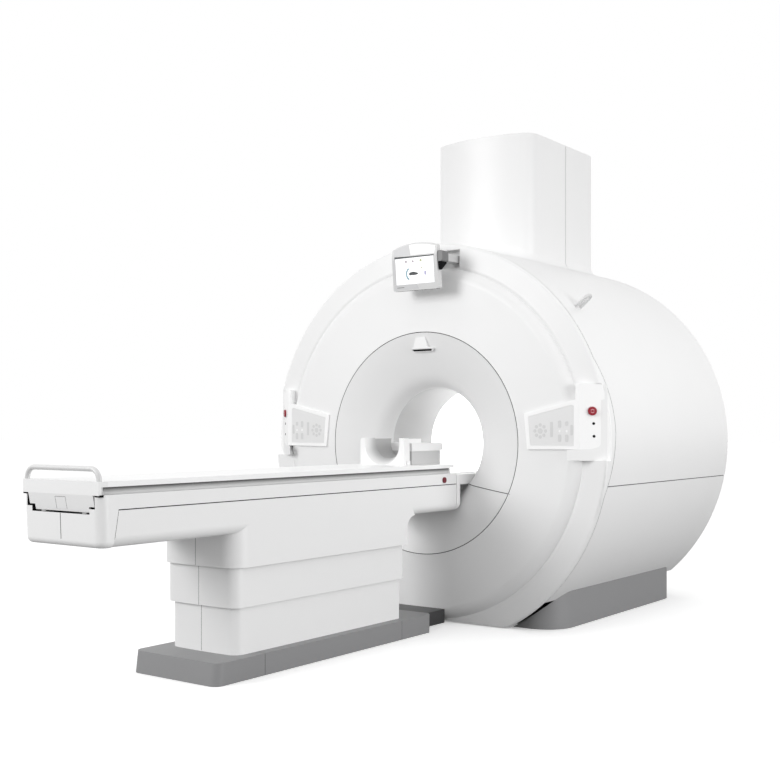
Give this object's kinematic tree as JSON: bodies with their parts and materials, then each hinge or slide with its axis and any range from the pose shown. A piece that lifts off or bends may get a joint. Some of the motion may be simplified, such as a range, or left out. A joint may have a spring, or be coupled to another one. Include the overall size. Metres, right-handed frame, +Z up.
{
  "type": "mri scanner",
  "caption": "Whole-body magnetic resonance scanner with a cylindrical magnet, front funnel and consoles, display, service turret and a lifting patient table with sliding tabletop.",
  "frame": {"origin": "on the floor under the magnet's centre, at the centre of the anchor bolts of the magnet's feet", "axes": "+X to the right as the table's foot end is faced, +Y along the bore away from the table, +Z up"},
  "size_m": [2.15, 4.0697, 2.749],
  "materials": {
    "cover_white": "satin moulded cover",
    "cover_bright": "satin moulded cover",
    "funnel_grey": "satin moulded cover",
    "tube_grey": "satin liner",
    "plinth_grey": "satin paint",
    "dark_plastic": "satin",
    "screen_glass": "lit screen panel",
    "keypad_film": "satin membrane",
    "stop_red": "gloss",
    "vessel_steel": "satin",
    "coil_resin": "cast resin",
    "frame_metal": "satin",
    "tabletop_white": "satin composite",
    "rubber_black": "matt",
    "handle_grey": "satin paint"
  },
  "bodies": {
    "scanner": {"barrel_cover_left": "cover_white", "barrel_cover_right": "cover_white", "barrel_cover_upper": "cover_white", "body_coil": "coil_resin", "bore_bridge": "cover_bright", "bore_front_tube": "tube_grey", "bore_liner": "cover_bright", "cold_head": "vessel_steel", "console_left": "cover_bright", "console_right": "cover_bright", "display_arm": "dark_plastic", "dock_block": "dark_plastic", "front_cover": "cover_white", "funnel_lower": "funnel_grey", "funnel_upper": "funnel_grey", "gantry_plinth": "plinth_grey", "gradient_coil": "coil_resin", "keypad_left": "keypad_film", "keypad_right": "keypad_film", "laser_pod": "cover_white", "lift_column_base": "frame_metal", "lifting_eyes": "handle_grey", "lower_skirt_left": "cover_white", "lower_skirt_right": "cover_white", "magnet_feet": "vessel_steel", "magnet_vessel": "vessel_steel", "plinth_foot_cap": "plinth_grey", "plinth_head_cap": "plinth_grey", "plinth_left": "plinth_grey", "plinth_right": "plinth_grey", "quench_pipe": "vessel_steel", "rear_cover": "cover_white", "turret_cap": "cover_white", "turret_front": "cover_white", "turret_rear": "cover_white"},
    "display": {"display_housing": "cover_white", "display_screen": "screen_glass"},
    "stage": {"lift_column_stage": "frame_metal", "middle_skirt_left": "cover_white", "middle_skirt_right": "cover_white"},
    "table": {"lift_column_ram": "frame_metal", "side_cover_left": "cover_white", "side_cover_right": "cover_white", "surround_left": "cover_white", "surround_right": "cover_white", "table_frame": "frame_metal", "drive_motor": "frame_metal", "drive_belt": "rubber_black"},
    "top": {"tabletop": "tabletop_white", "tabletop_end_cap": "cover_white", "grab_handle": "handle_grey", "head_cradle": "cover_bright", "coil_connector": "cover_bright"},
    "latch": {"release_latch": "cover_white"},
    "drive_wheel": {"drive_pulley": "frame_metal"},
    "idler_wheel": {"idler_pulley": "frame_metal"},
    "gantry_button_right": {"gantry_stop_right": "stop_red"},
    "gantry_button_left": {"gantry_stop_left": "stop_red"},
    "table_button_right": {"table_stop_right": "stop_red"},
    "table_button_left": {"table_stop_left": "stop_red"}
  },
  "joints": [
    {"name": "table_lift", "type": "slide", "parent": "scanner", "child": "table", "axis": [0, 0, 1], "range_m": [-0.31, 0]},
    {"name": "stage_lift", "type": "slide", "parent": "scanner", "child": "stage", "axis": [0, 0, 1], "range_m": [-0.155, 0]},
    {"name": "tabletop_slide", "type": "slide", "parent": "table", "child": "top", "axis": [0, 1, 0], "range_m": [0, 1.65]},
    {"name": "display_tilt", "type": "hinge", "parent": "scanner", "child": "display", "pos_m": [0.186, -0.951, 1.922], "axis": [1, 0, 0], "range_deg": [-15, 10]},
    {"name": "gantry_stop_right_press", "type": "slide", "parent": "scanner", "child": "gantry_button_right", "axis": [-0.6, 0.8, 0], "range_m": [0, 0.004], "stiffness_N_per_m": 1500},
    {"name": "gantry_stop_left_press", "type": "slide", "parent": "scanner", "child": "gantry_button_left", "axis": [0.6, 0.8, 0], "range_m": [0, 0.004], "stiffness_N_per_m": 1500},
    {"name": "table_stop_right_press", "type": "slide", "parent": "table", "child": "table_button_right", "axis": [-1, 0, 0], "range_m": [0, 0.003], "stiffness_N_per_m": 1500},
    {"name": "table_stop_left_press", "type": "slide", "parent": "table", "child": "table_button_left", "axis": [1, 0, 0], "range_m": [0, 0.003], "stiffness_N_per_m": 1500},
    {"name": "latch_press", "type": "slide", "parent": "top", "child": "latch", "axis": [0, 1, 0], "range_m": [0, 0.006], "stiffness_N_per_m": 1200},
    {"name": "drive_pulley_spin", "type": "hinge", "parent": "table", "child": "drive_wheel", "pos_m": [0, -0.902, 0.698], "axis": [1, 0, 0], "continuous": true},
    {"name": "idler_spin", "type": "hinge", "parent": "table", "child": "idler_wheel", "pos_m": [0, -3.04, 0.698], "axis": [1, 0, 0], "continuous": true}
  ],
  "couplings": [
    {"joint": "stage_lift", "follows": "table_lift", "ratio": 0.5},
    {"joint": "drive_pulley_spin", "follows": "tabletop_slide", "rad_per_m": -51.813},
    {"joint": "idler_spin", "follows": "tabletop_slide", "rad_per_m": -51.813}
  ]
}
